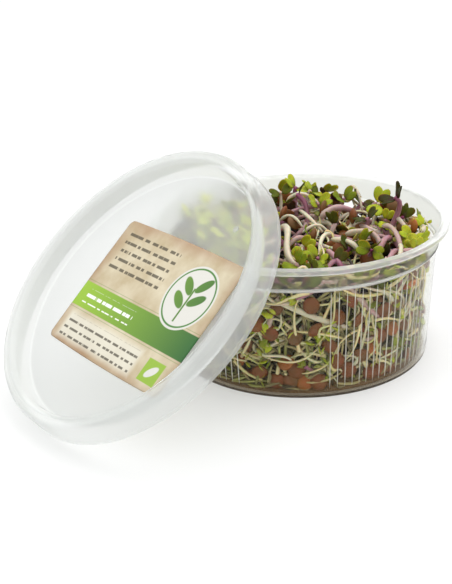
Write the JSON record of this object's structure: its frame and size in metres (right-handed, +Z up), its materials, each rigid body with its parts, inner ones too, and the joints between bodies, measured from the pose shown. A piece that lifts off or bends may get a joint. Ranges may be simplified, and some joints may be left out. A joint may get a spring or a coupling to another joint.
{
  "type": "tub of mixed sprouts",
  "caption": "Low round clear tub with a ribbed wall, filled with a heap of radish, lentil and alfalfa sprouts, with its labelled lid leaning on the rim.",
  "frame": {"origin": "middle of the tub's flat base, on the surface that it stands on", "axes": "+Z up along the tub's axis; the lid leans on the rim at the -X side, and its panel runs along Y"},
  "size_m": [0.1805, 0.1197, 0.0857],
  "materials": {
    "clear_tub": "gloss",
    "milky_lid": "satin",
    "label_paper": "satin",
    "alfalfa": "satin",
    "lentil": "matte",
    "radish_stem": "satin",
    "radish_leaf": "satin"
  },
  "bodies": {
    "root": {"alfalfa_tangle": "alfalfa", "label": "label_paper", "lentils_01": "lentil", "lentils_02": "lentil", "lentils_03": "lentil", "lentils_04": "lentil", "lentils_05": "lentil", "lentils_06": "lentil", "lentils_07": "lentil", "lentils_08": "lentil", "lentils_09": "lentil", "lentils_10": "lentil", "lentils_11": "lentil", "lid": "milky_lid", "radish_leaves_01": "radish_leaf", "radish_leaves_02": "radish_leaf", "radish_leaves_03": "radish_leaf", "radish_leaves_04": "radish_leaf", "radish_leaves_05": "radish_leaf", "radish_leaves_06": "radish_leaf", "radish_leaves_07": "radish_leaf", "radish_leaves_08": "radish_leaf", "radish_leaves_09": "radish_leaf", "radish_leaves_10": "radish_leaf", "radish_leaves_11": "radish_leaf", "radish_leaves_12": "radish_leaf", "radish_leaves_13": "radish_leaf", "radish_leaves_14": "radish_leaf", "radish_leaves_15": "radish_leaf", "radish_leaves_16": "radish_leaf", "radish_leaves_17": "radish_leaf", "radish_leaves_18": "radish_leaf", "radish_leaves_19": "radish_leaf", "radish_leaves_20": "radish_leaf", "radish_leaves_21": "radish_leaf", "radish_stem_01": "radish_stem", "radish_stem_02": "radish_stem", "radish_stem_03": "radish_stem", "radish_stem_04": "radish_stem", "radish_stem_05": "radish_stem", "radish_stem_06": "radish_stem", "radish_stem_07": "radish_stem", "radish_stem_08": "radish_stem", "radish_stem_09": "radish_stem", "radish_stem_10": "radish_stem", "radish_stem_11": "radish_stem", "radish_stem_12": "radish_stem", "radish_stem_13": "radish_stem", "radish_stem_14": "radish_stem", "radish_stem_15": "radish_stem", "radish_stem_16": "radish_stem", "radish_stem_17": "radish_stem", "radish_stem_18": "radish_stem", "radish_stem_19": "radish_stem", "radish_stem_20": "radish_stem", "radish_stem_21": "radish_stem", "tub": "clear_tub"}
  },
  "joints": []
}
